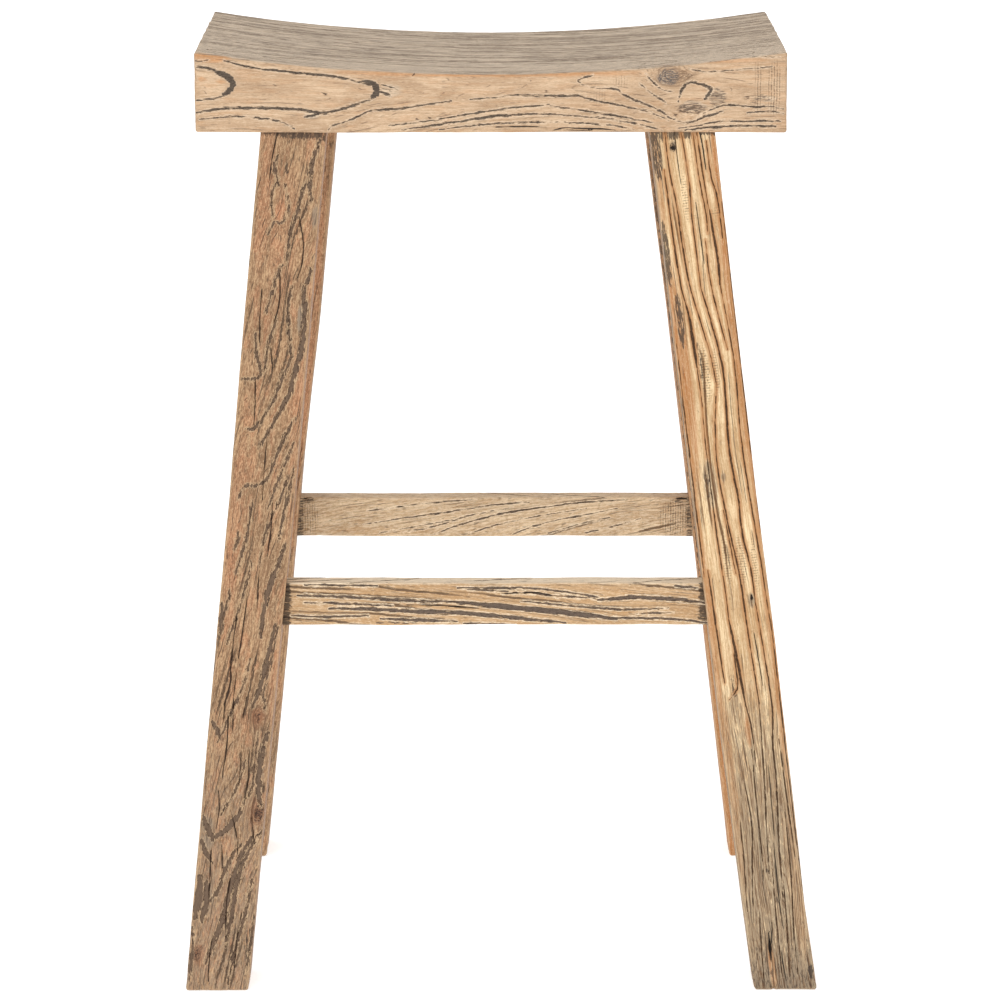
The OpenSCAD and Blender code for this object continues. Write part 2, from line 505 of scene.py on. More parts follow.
def surface_fields(points, out, wood):
    """Every attribute the shader reads, at each surface point."""
    figure = Figure(wood)
    seams = [stroke(*seam) for seam in wood.seams]
    cracks = [stroke(*crack) for crack in wood.cracks]
    if seams:
        figure.follow([s for s in seams if len(s) > 16])
    phase, pitch, grain = figure.read(points, out)
    flat = points[:, :2]
    depth = np.maximum(points[:, 2], 0)
    ragged = wood.ragged * layered_noise(stretched(points, 7, 1.6), wood.seed + 20, 2)
    front = ramp(depth, 4.0, 0.5)
    on_face = ramp(depth, wood.edge + 3.0, wood.edge)
    groups = sorted_groups(seams, 3) + [cracks]
    lines = {}
    for name, group in zip(SEAM_LAYERS, groups):
        field = seam_field(flat, group)
        field[:, 1] -= 0.25 * depth + ragged
        field[:, 2] *= on_face
        lines[name] = field
    share = wood.bold[1] + (wood.bold[0] - wood.bold[1]) * front
    bold = ring_boldness(phase, points, wood.seed + 30, share)
    blur = 0.45 * layered_noise(stretched(points, 9.0, 5.0), wood.seed + 80)
    knot = np.clip(1.0 - (knot_distance(points, wood) + blur) / KNOT_REACH, 0.0, 1.0)
    ends = ramp(np.abs(out[:, 0]), 0.5, 0.85)
    # Arris mask: the shader lightens these edges, partly as wear and partly as a painted highlight.
    wear_and_highlight = ramp(np.abs(out).max(1), 0.99, 0.86)
    bold = np.maximum(bold, 0.4 * ramp(knot, 0.0, 0.6))
    saw = patches(flat, wood.saw) * front
    tone = np.column_stack([patches(flat, spots) * front for spots in (wood.grey, wood.warm, wood.dark)])
    for axis, side, *levels in wood.faces:
        tone = np.maximum(tone, ramp(side * out[:, axis], 0.45, 0.8)[:, None] * np.array(levels))
    for start, end, *levels in wood.weather:
        drift = points[:, 0] + 25 * layered_noise(stretched(points, 60, 12), wood.seed + 70)
        tone = np.maximum(tone, ramp(drift, start, end)[:, None] * np.array(levels))
    return {
        "phase": phase, "pitch": pitch, "grain": grain, "bold": bold, "wear_and_highlight": wear_and_highlight,
        "line": np.abs(phase - np.round(phase)) * pitch,
        **lines,
        "tone": tone, "mark": np.column_stack([knot, saw, ends]),
    }


def knot_distance(points, wood):
    """Distance to the nearest knot, in knot sizes."""
    nearest = np.full(len(points), FAR)
    for l, a, b, size, rings in wood.knots:
        away = np.linalg.norm((points - (l, a, b)) / (1.4 * size, size, 1.5 * size), axis=1)
        nearest = np.minimum(nearest, away)
    return nearest


def stroke(width, *knots):
    """A seam's samples (l, a, width), thinner towards both ends."""
    curve = curve_through([(l, a, width) for l, a in knots])
    t = np.linspace(0, 1, len(curve))
    curve[:, 2] *= 0.3 + 0.7 * np.sqrt(np.sin(math.pi * np.clip(t, 0.02, 0.98)))
    return curve


def make_timber(node, place, wood, material, mesh_steps, shapers=()):
    """Builds the mesh that stands for one CAD node, with its relief and its shader attributes."""
    spans = zip(place.low, place.high, mesh_steps)
    points, quads, uvs = box_lattice([steps(low, high, *step) for low, high, step in spans])
    edge = wood.edge + 0.9 * layered_noise(stretched(points, 30, 60), wood.seed + 60)
    edge = np.clip(edge, 0.8, 5.0)
    points, out = rounded(points, place.low, place.high, edge)
    for shaper in shapers:
        points = shaper(points)
    fields = surface_fields(points, out, wood)
    points = points + out * relief(points, wood, fields)[:, None]
    mesh = bpy.data.meshes.new(node + "_wood")
    mesh.from_pydata(place.world(points), [], [])
    mesh.loops.add(quads.size)
    mesh.polygons.add(len(quads))
    mesh.loops.foreach_set("vertex_index", quads.ravel().astype(np.int32))
    mesh.polygons.foreach_set("loop_start", np.arange(0, quads.size, 4, dtype=np.int32))
    mesh.polygons.foreach_set("use_smooth", np.ones(len(quads), bool))
    mesh.update(calc_edges=True)
    layer = mesh.uv_layers.new(name="OFBake")
    layer.data.foreach_set("uv", uvs.ravel().astype(np.float32))
    for name in ("phase", "pitch", "bold", "wear_and_highlight"):
        values = mesh.attributes.new(name, "FLOAT", "POINT")
        values.data.foreach_set("value", fields[name].astype(np.float32))
    for name in ("grain", "tone", "mark") + SEAM_LAYERS:
        values = mesh.attributes.new(name, "FLOAT_VECTOR", "POINT")
        values.data.foreach_set("vector", fields[name].ravel().astype(np.float32))
    mesh.materials.append(material)
    piece = bpy.data.objects.new(node + "_wood", mesh)
    bpy.context.scene.collection.objects.link(piece)
    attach(piece, "root")
    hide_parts(node)
    return piece


# ---------------------------------------------------------------- shader

def srgb(red, green, blue):
    """A linear colour from 8-bit sRGB values."""
    def linear(value):
        value /= 255.0
        return value / 12.92 if value <= 0.04045 else ((value + 0.055) / 1.055) ** 2.4
    return (linear(red), linear(green), linear(blue), 1.0)


class Graph:
    """Short names for building a node tree."""

    def __init__(self, tree):
        self.tree = tree

    def node(self, kind, sockets=(), **settings):
        node = self.tree.nodes.new("ShaderNode" + kind)
        for name, value in settings.items():
            setattr(node, name, value)
        for key, value in dict(sockets).items():
            if isinstance(value, bpy.types.NodeSocket):
                self.tree.links.new(value, node.inputs[key])
            else:
                node.inputs[key].default_value = value
        return node

    def math(self, operation, *values):
        return self.node("Math", enumerate(values), operation=operation).outputs[0]

    def plus(self, one, other):
        return self.math("ADD", one, other)

    def minus(self, one, other):
        return self.math("SUBTRACT", one, other)

    def times(self, one, other):
        return self.math("MULTIPLY", one, other)

    def ramp(self, value, low, high, bottom=0.0, top=1.0):
        sockets = {0: value, 1: low, 2: high, 3: bottom, 4: top}
        return self.node("MapRange", sockets, interpolation_type="SMOOTHSTEP").outputs[0]

    def blend(self, factor, under, over):
        return self.node("Mix", {0: factor, 6: under, 7: over}, data_type="RGBA").outputs[2]

    def attribute(self, name, output="Fac"):
        return self.node("Attribute", attribute_name=name).outputs[output]

    def split(self, vector):
        return self.node("SeparateXYZ", {0: vector}).outputs


class WoodGraph(Graph):
    """The graph of one wood: the fields and noises that its parts read, and its colour so far."""

    def __init__(self, tree, look):
        super().__init__(tree)
        self.look = look
        self.grain = self.attribute("grain", "Vector")
        self.phase = self.attribute("phase")
        self.pitch = self.attribute("pitch")
        self.bold = self.attribute("bold")
        self.grey, self.warm, self.dark = self.split(self.attribute("tone", "Vector"))
        self.knot, self.saw, self.end = self.split(self.attribute("mark", "Vector"))
        self.fibre = self.noise(look["length"], 0.9, 3.0, 0.62)
        self.streak = self.noise(110.0, 3.4, 3.0, 0.6)
        self.cloud = self.noise(55.0, 22.0)
        self.fleck = self.noise(6.5, 1.25, 3.0, 0.7)
        self.grit = self.noise(2.8, 1.15, 3.0, 0.8)
        self.strand = self.noise(look["strand"], 0.95, 3.0, 0.7)
        self.mottle = self.times(self.minus(self.fleck, 0.5), 3.6)
        self.base = self.colour("mid")

    def noise(self, along, across, detail=2.0, roughness=0.5):
        """Noise whose cells are along mm long and across mm wide on the grain."""
        scale = {0: self.grain, 1: (1 / along, 1 / across, 1 / across)}
        vector = self.node("VectorMath", scale, operation="MULTIPLY").outputs[0]
        sockets = {"Vector": vector, "Scale": 1.0, "Detail": detail, "Roughness": roughness}
        return self.node("TexNoise", sockets).outputs["Fac"]

    def colour(self, part):
        return srgb(*self.look[part])

    def paint(self, factor, part):
        """Lays the colour of one part over what is painted so far."""
        self.base = self.blend(factor, self.base, self.colour(part))


def ring_lines(g):
    """Dark line of each growth ring, and how deep a point lies in the ring's open early wood."""
    part = g.math("FRACT", g.plus(g.phase, 0.5))
    offset = g.math("ABSOLUTE", g.minus(part, 0.5))
    away = g.times(offset, g.pitch)
    rough = g.times(g.minus(g.strand, 0.5), g.look["ragged"] * 6.0 + 1.0)
    width = g.plus(g.times(g.bold, 0.75), 0.12)
    line = g.ramp(g.minus(g.plus(away, rough), width), 0.25, -0.2)
    line = g.times(line, g.plus(g.times(g.bold, 0.8), 0.12))
    return line, g.ramp(offset, 0.36, 0.04)


def hair_lines(g):
    """Fine drying checks between the rings, here and there."""
    rate = 1.7
    part = g.math("FRACT", g.plus(g.times(g.phase, rate), 0.2))
    away = g.times(g.math("ABSOLUTE", g.minus(part, 0.5)), g.math("DIVIDE", g.pitch, rate))
    rough = g.times(g.minus(g.fleck, 0.5), 0.7)
    gate = g.noise(42.0, 5.0, 1.0)
    return g.times(g.ramp(g.plus(away, rough), 0.5, 0.1), g.ramp(gate, 0.56, 0.64))


def seam_edge_node(g, name):
    """The shader's seam_edge: distance in mm from a seam's edge, negative inside it."""
    offset, half, presence = g.split(g.attribute(name, "Vector"))
    inside = g.minus(g.math("ABSOLUTE", offset), half)
    return g.plus(inside, g.times(g.minus(1.0, presence), 9.0))


def paint_clear_wood(g, early):
    """Streaks, clouds, blushes, fibres and pores."""
    fibre, grit = g.look["fibre"], g.look["grit"]
    g.base = g.blend(g.ramp(g.streak, 0.34, 0.66), g.base, g.colour("light"))
    g.paint(g.ramp(g.cloud, 0.4, 0.66, 0.0, 0.55), "deep")
    g.paint(g.ramp(g.noise(26.0, 7.5, 2.0, 0.6), 0.5, 0.62, 0.0, g.look["blush"]), "warm")
    g.paint(g.times(early, 0.32), "deep")
    g.paint(g.times(g.warm, g.ramp(g.streak, 0.3, 0.6, 0.6, 1.0)), "warm")
    g.paint(g.ramp(g.fibre, 0.5, 0.62, 0.0, fibre), "deep")
    g.paint(g.ramp(g.fibre, 0.48, 0.37, 0.0, 0.5 * fibre), "pale")
    g.paint(g.ramp(g.grit, 0.52, 0.6, 0.0, grit), "deep")
    g.paint(g.ramp(g.grit, 0.47, 0.38, 0.0, 0.7 * grit), "pale")


def paint_weathering_and_painted_light(g):
    """Grey patches, with dark fibres combed out of them: mostly weathering, but the grey on the right front
    leg's left side face is partly painted shade, and the pale top of the front stretcher partly a painted
    highlight.
    """
    grey = g.times(g.grey, g.ramp(g.plus(g.grey, g.mottle), 0.1, 0.6))
    g.paint(g.times(grey, g.minus(1.0, g.times(g.warm, 0.75))), "grey")
    g.paint(g.times(g.grey, g.ramp(g.fibre, 0.5, 0.6, 0.0, g.look["comb"])), "line")


def paint_lines(g, speck, hair, line):
    """Pores, hairlines, ring lines, nicks, pale edges that are partly wear and partly painted highlight,
    and dark stains that include painted shade where the legs meet the seat and the stretchers meet the
    legs.
    """
    g.paint(speck, "line")
    g.paint(g.times(hair, g.look["hair"]), "stain_and_shade")
    g.paint(line, "line")
    nick = g.ramp(g.noise(7.0, 1.8, 0.0), 0.72, 0.76)
    g.paint(g.times(nick, g.look["nick"]), "stain_and_shade")
    # Painted highlight: the arrises are lightened with the pale colour, partly as wear and partly to stand
    # in for the light they catch.
    edge = g.times(g.attribute("wear_and_highlight"), g.ramp(g.fleck, 0.4, 0.56, 0.25, 0.75))
    g.paint(g.times(edge, g.look["edge"]), "pale")
    # Painted shade: the dark tone darkens the wood with the stain colour; besides real stains it paints the
    # shade at the tops of the legs under the seat and at the ends of the stretchers against the legs.
    stain_and_shade_mask = g.ramp(g.plus(g.dark, g.mottle), 0.35, 0.75, 0.0, 0.85)
    g.paint(g.times(stain_and_shade_mask, g.ramp(g.dark, 0.0, 0.4)), "stain_and_shade")


def paint_knots(g):
    """Rings around each knot, and its dark heart."""
    rings = g.math("SINE", g.times(g.plus(g.knot, g.times(g.fleck, 0.12)), 62.0))
    g.paint(g.times(g.ramp(g.knot, 0.05, 0.75), g.ramp(rings, -0.4, 0.9, 0.35, 0.85)), "knot")
    g.paint(g.times(g.ramp(g.knot, 0.55, 0.74), g.ramp(g.grit, 0.47, 0.54, 0.1, 0.9)), "burl")


def paint_seams(g):
    """Dark seams with a soft halo and a pale rim, and cracks. Returns where each is."""
    rough = g.times(g.minus(g.strand, 0.5), g.look["ragged"] * 8.0)
    rough = g.plus(rough, g.ramp(g.noise(8.0, 2.4, 1.0), 0.5, 0.4, 0.0, g.look["broken"]))
    nearest = g.math("MINIMUM", seam_edge_node(g, "seam_a"), seam_edge_node(g, "seam_b"))
    nearest = g.math("MINIMUM", nearest, seam_edge_node(g, "seam_c"))
    seam = g.plus(nearest, rough)
    halo = g.ramp(seam, 2.6, 0.3, 0.0, g.look["halo_depth"])
    g.paint(g.times(halo, g.ramp(g.grey, 0.7, 0.1)), "halo")
    rim = g.times(g.ramp(seam, 1.4, 0.8), g.ramp(seam, 0.1, 0.6))
    rim = g.times(rim, g.ramp(g.grit, 0.42, 0.54, 0.2, 1.0))
    g.paint(g.times(rim, g.look["rim"]), "pale")
    core = g.ramp(seam, 0.25, -0.2)
    inner = g.blend(g.ramp(g.grit, 0.46, 0.54), g.colour("seam"), g.colour("ash"))
    inner = g.blend(g.ramp(seam, -0.4, -1.3, 0.0, g.look["heart"]), inner, g.colour("core"))
    g.base = g.blend(g.times(core, 0.96), g.base, inner)
    crack = g.ramp(g.plus(seam_edge_node(g, "crack"), g.times(rough, 0.1)), 0.25, -0.1)
    g.paint(g.times(crack, 0.95), "crack")
    return core, crack


def paint_cuts(g):
    """Saw marks, whose place is returned, and sawn ends."""
    along = g.split(g.grain)[0]
    wobble = g.times(g.minus(g.cloud, 0.5), 6.0)
    ladder = g.math("SINE", g.plus(g.times(along, 2.9), wobble))
    notch = g.times(g.saw, g.ramp(ladder, 0.0, 0.8))
    notch = g.times(notch, g.ramp(g.grit, 0.44, 0.56, 0.1, 1.0))
    g.paint(g.times(notch, 0.65), "stain_and_shade")
    g.paint(g.times(g.end, 0.6), "end")
    return notch


def wood_material(name, look):
    """Old elm. look holds the colours of its parts in sRGB, and how ragged and speckled it is."""
    material = bpy.data.materials.new(name + "_wood")
    material.use_nodes = True
    material.node_tree.nodes.clear()
    g = WoodGraph(material.node_tree, look)
    line, early = ring_lines(g)
    hair = hair_lines(g)
    speck = g.times(g.ramp(g.grit, 0.62, 0.7), g.ramp(early, 0.2, 0.9, 0.1, 0.7))
    paint_clear_wood(g, early)
    paint_weathering_and_painted_light(g)
    paint_lines(g, speck, hair, line)
    paint_knots(g)
    core, crack = paint_seams(g)
    notch = paint_cuts(g)

    dull = g.math("MAXIMUM", line, core)
    roughness = g.ramp(g.minus(dull, g.times(g.fibre, 0.3)), -0.3, 1.0, 0.58, 0.92)
    height = g.times(g.fibre, -0.22)
    for layer, depth in ((g.grit, 0.14 * look["ragged"]), (speck, 0.12), (line, 0.22), (hair, 0.2),
                         (notch, 0.22), (core, 0.4), (crack, 0.5)):
        height = g.minus(height, g.times(layer, depth))
    bump = g.node("Bump", {"Strength": 0.8, "Distance": MM, "Height": height}).outputs[0]
    shader = g.node("BsdfPrincipled", {"Base Color": g.base, "Roughness": roughness, "Normal": bump,
                                       "Specular IOR Level": 0.3})
    g.node("OutputMaterial", {0: shader.outputs[0]})
    return material


# ---------------------------------------------------------------- the nine timbers
# Seams and cracks are (width, (l, a), (l, a), ...). Spots are (l, a, half_length, half_width, strength).

SEAT = Wood(
    seed=11, pith=(34, 26), ring=3.4, taper=0.055, wander=1.5, bold=(0.14, 0.56), edge=2.4, ragged=0.42,
    knots=((145, 45, 0, 5.5, 3.2),),
    seams=(
        (2.5, (-232, 53), (-225, 52), (-218, 50), (-211, 46.5)),
        (6, (-217, 48.5), (-208, 45), (-203.5, 39.5), (-206, 34), (-211, 30.5)),
        (1.5, (-208, 31.5), (-213, 29), (-219, 27.5), (-233, 26)),
        (2, (-211, 58), (-197, 54), (-184, 51.5), (-171, 50), (-150, 47.5), (-130, 46), (-115, 43.5),
         (-92, 38)),
        (4, (-101, 41.5), (-95, 40), (-88, 37)), (7.5, (-93, 40), (-90, 36.5), (-89.5, 32), (-93, 28.5)),
        (2.5, (-89, 34), (-83, 32), (-78, 29.5)), (1.4, (-86, 38.5), (-80, 37), (-74, 35.5)),
        (2.4, (-91, 28), (-105, 23), (-118, 19), (-132, 16), (-155, 19), (-180, 20), (-210, 19.5),
         (-234, 16)),
        (2.7, (-147, 13), (-141, 14), (-136, 15)),
        (1.2, (-230, 10.5), (-210, 13), (-195, 13), (-180, 11.5), (-165, 8.5), (-155, 3.5)),
        (1.4, (-128, 2.5), (-124, 6), (-110, 10.5), (-97, 17), (-90, 18.5), (-70, 19.5), (-50, 22.5),
         (-30, 25.5)),
        (1.4, (-16, 26.5), (2, 28), (20, 30), (50, 29.5), (70, 29.5), (83, 26), (100, 22.5), (128, 16),
         (142, 10)),
        (1.4, (-80, 6), (-60, 8), (-40, 10.5), (-20, 14.5), (0, 17.5), (20, 20), (47, 22.5)),
        (1.3, (47, 22), (65, 19), (75, 17.5), (95, 14.5), (115, 11), (130, 8)),
        (2, (-70, 2.5), (-50, 5), (-35, 7.5), (-15, 10.5), (5, 13.5), (25, 14.5), (45, 15), (65, 13.5)),
        (1.1, (65, 13.5), (85, 12), (105, 9.5), (122, 6), (138, 1.5)),
        (1.1, (-40, 2.5), (-20, 5), (0, 7), (20, 8), (45, 8.5), (75, 7.5), (95, 6), (115, 2.5)),
        (1.3, (85, 35.5), (100, 35), (105, 31.5), (115, 26), (125, 22.5), (138, 16), (143, 12),
         (155, 7.5)),
        (0.8, (70, 41), (76, 37.5), (85, 35.5)), (0.8, (70, 42), (76, 44.5), (82, 46)),
        (1.9, (156, 7.5), (165, 10), (172, 13), (185, 17)),
        (1.3, (165, 13), (180, 20), (190, 22), (210, 20.5), (220, 21), (233, 19)),
        (1.1, (150, 3.5), (165, 5.5), (183, 9), (200, 9), (222, 9.5), (231, 9)),
        (1.9, (155, 2), (175, 4), (205, 5.5), (228, 5)), (1.7, (205, 16), (220, 17), (233, 15.5)),
        (1.9, (150, 25), (152, 33), (156, 38.5), (160, 40), (165, 39.5), (172, 37.5), (176, 35)),
        (3.6, (172, 36), (176, 34.5), (174, 31), (171, 27)), (0.8, (119, 39.5), (128, 32), (140, 24)),
        (0.8, (124, 47), (130, 40), (138, 34), (146, 33)),
        (0.7, (158, 51), (168, 49), (175, 48.5), (195, 50), (224, 52.5)),
        (0.6, (185, 59), (205, 60.5), (230, 60.5)), (0.8, (-234, 57.5), (-229, 57.5), (-222, 58.5)),
    ),
    cracks=(
        (0.7, (37, 1), (42, 1.2), (46, 1.5)), (0.6, (50, 1.5), (60, 4), (70, 3.5), (90, 3), (100, 2)),
        (0.7, (62, 1), (72, 1), (80, 1.5)), (0.6, (5, 4.5), (25, 5), (45, 4.5)),
        (0.9, (-61, 45.5), (-59, 48)),
    ),
    grey=(
        (141, 44, 9, 6.5, 0.85), (162, 21, 12, 5, 0.6), (180, 29, 9, 7, 0.55), (219, 27, 10, 3, 0.5),
        (-78, 34, 9, 6, 0.5), (-141, 14, 7, 3, 0.6),
    ),
    warm=(
        (-220, 61, 16, 5, 1.0), (-160, 63, 60, 3, 0.7), (0, 48, 120, 3.5, 0.85), (150, 58, 70, 3, 0.6),
        (-228, 43, 3, 2, 0.8), (-213, 41, 3, 2, 0.7),
    ),
    dark=(
        (160, 19.5, 13, 4.5, 0.6), (181, 28, 8, 8, 0.5), (153, 45, 9, 5, 0.55), (212, 27, 12, 4, 0.45),
        (-131, 31, 1.6, 1.2, 1), (46, 33, 2, 1, 0.9), (-170, 38, 1.6, 1, 0.9), (-58, 11, 1.3, 1, 1),
        (-48, 12, 1.3, 1, 1), (162, 20, 1.6, 1.3, 1), (148, 14, 2, 1.2, 0.9), (165, 16, 1.5, 1, 0.9),
    ),
    saw=((213, 36, 3, 22, 0.9), (226, 36, 6, 22, 1.0), (104, 41, 6, 5, 0.6), (88, 28, 6, 7, 0.4)),
    faces=((1, 1, 0.85, 0, 0), (2, 1, 0.2, 0, 0)),
)

LEFT_LEG = Wood(
    seed=23, pith=(-60, 60), ring=3.8, taper=0.10, wander=2.5, bold=(0.34, 0.5), edge=2.0,
    knots=((476, 12, 1, 3.2, 1.4), (555, 20, 2, 4.6, 1.6), (678, -20, 1, 3, 0.8)),
    seams=(
        (3.2, (6, 19), (25, 15), (38, 14), (58, 17)),
        (2.7, (38, 13), (50, 9), (65, 7), (80, 3), (108, 1)),
        (2.3, (108, 1), (112, -3), (130, -7.5), (150, -11)),
        (4.8, (110, 22), (127, 18), (145, 20), (175, 20), (190, 17), (210, 14), (222, 9), (240, 2)),
        (2.7, (125, 8), (142, 6), (167, 10), (182, 12), (200, 6.5), (220, 1), (240, -9)),
        (1.9, (45, -5), (58, -1), (66, -1), (73, -3), (76, -7), (75, -11), (86, -15)),
        (2.9, (22, -13), (30, -15), (46, -10)), (1.4, (40, -10), (50, -14.5), (62, -14), (73, -12)),
        (2.5, (165, -18), (182, -15), (198, -11), (202, -16), (203, -25)),
        (2.7, (230, 20), (255, 10), (280, 3), (288, -6), (290, -16), (302, -20)),
        (1.9, (230, 6), (245, -1), (258, -7)), (2.5, (230, -4), (242, -12), (243, -18)),
        (2.5, (250, 21), (280, 12), (308, 4)),
        (2.3, (278, 19), (300, 13), (320, 6.5), (340, 3.5), (355, 2.5)),
        (2.3, (270, 23), (298, 19.5), (330, 16)), (4.6, (333, 22), (352, 16.5), (378, 10.5), (412, 8)),
        (4.6, (398, 20), (425, 16), (452, 12), (470, 7)),
        (2.5, (400, 22), (440, 17), (455, 14.5), (470, 18)), (2.5, (326, -17), (334, -17), (343, -19)),
        (2.5, (375, -20), (388, -21), (400, -24)), (5.6, (488, 22), (505, 18), (535, 18), (550, 22)),
        (1.9, (488, 14), (520, 13), (535, 13), (560, 2)), (6.7, (556, 6), (572, -5), (580, -15)),
        (4, (570, 24), (590, 14), (615, 8), (645, 6), (670, 3)),
        (5.4, (575, 17), (593, 9), (620, 3), (650, -2), (685, -12)),
        (3.2, (583, 8), (600, -1), (625, -8), (640, -20)), (4.6, (655, -25), (680, -24.5), (702, -24)),
        (6, (562, -25), (574, -19), (582, -15)), (5, (582, -24), (592, -20), (600, -14)),
        (8, (612, -22.5), (630, -22), (648, -24)), (6, (616, -17), (632, -15.5), (650, -18)),
        (3.4, (640, 24.5), (665, 24), (690, 22)), (3.6, (385, -25), (400, -24.5), (412, -24)),
        (5, (484, -24), (490, -20), (497, -17)), (2.9, (610, 20), (640, 17), (668, 12), (700, 8)),
        (2.5, (300, -8), (330, -10), (362, -16)), (2.3, (350, -4), (380, -9), (420, -18)),
        (2.5, (430, 2), (455, -3), (500, -18)), (2.3, (512, 6), (535, 1), (560, -10)),
        (2.3, (150, -2), (170, -6), (196, -8)),
    ),
    cracks=(
        (0.9, (70, 8.5), (92, 14), (110, 13.5), (118, 11.5)), (0.8, (115, -3), (137, -1), (155, -3.5)),
        (0.7, (175, -5), (185, -3), (195, -1)), (0.9, (203, -14.5), (222, -13), (240, -12.5)),
        (0.9, (355, 2.5), (372, 3), (392, 4)), (0.7, (250, -1), (275, -1), (300, 0)),
        (1, (375, -5), (400, -6), (430, -7.5)), (1.2, (425, -14), (452, -12.5), (470, -16)),
        (0.8, (557, -2), (580, 5), (592, 6)), (0.8, (560, 15), (572, 17), (583, 19.5)),
        (0.9, (590, -15.5), (610, -14.5), (630, -14)), (0.7, (585, -7.5), (595, -6), (605, -5)),
        (1, (475, -12), (500, -10.5), (530, -12)), (0.8, (460, -14.5), (470, -15), (482, -15)),
        (0.7, (460, 2), (470, 1), (480, 0)), (0.7, (500, 1), (518, 2), (535, 2)),
        (0.9, (540, -14), (556, -12), (572, -13)), (0.8, (505, 8), (528, 9), (545, 8)),
        (0.8, (395, -12), (415, -13), (438, -12.5)), (0.7, (440, -8), (462, -8.5), (490, -7)),
        (0.8, (612, 2), (636, 1), (662, 3)), (0.9, (660, -8), (680, -9), (700, -8)),
        (0.7, (300, 8), (322, 9), (345, 8)), (0.7, (130, -16), (150, -15.5), (172, -14)),
        (0.9, (0, -14), (20, -17), (44, -18)), (0.7, (640, 14), (660, 12), (690, 12)),
    ),
    grey=(
        (149, 17, 13, 3, 0.9), (68, 21, 10, 3, 0.7), (569, -21, 8, 6, 0.8), (583, -20, 7, 7, 0.8),
        (630, -17, 14, 9, 0.7), (665, 0, 45, 30, 0.4), (570, 0, 80, 30, 0.25), (520, 18, 30, 5, 0.5),
    ),
    warm=(
        (476, 12, 6, 5, 0.6), (66, -7, 9, 4.5, 1.0), (60, -20, 60, 6, 0.5), (230, 21, 60, 4, 0.5),
        (330, -20, 90, 6, 0.5), (90, -2, 60, 12, 0.3), (430, 22, 40, 4, 0.5),
    ),
    # The first spot is painted shade: a dark band across the top of the leg, just under the seat.
    dark=(
        (1, 0, 7, 80, 0.9), (34, -5, 8, 2, 0.6), (34, 14, 6, 3, 0.6), (665, 22, 14, 3.5, 0.7),
        (555, 20, 4, 3, 0.7),
    ),
    bow=(
        (0, -3.2, -1.7), (200, -2.2, -0.6), (300, -1.2, 0.2), (420, -1.6, -0.6), (500, -1.5, -0.7),
        (640, -0.6, -0.2), (700, -0.5, -0.2),
    ),
    faces=((1, 1, 0.0, 0.35, 0.0),), weather=((400, 640, 0.5, 0, 0.1),),
    pits=((699, -23, 0, 6, 5, 1.5), (670, -25, 0, 12, 2, 1.2), (430, -26, 0, 20, 2.5, 0.8)),
)

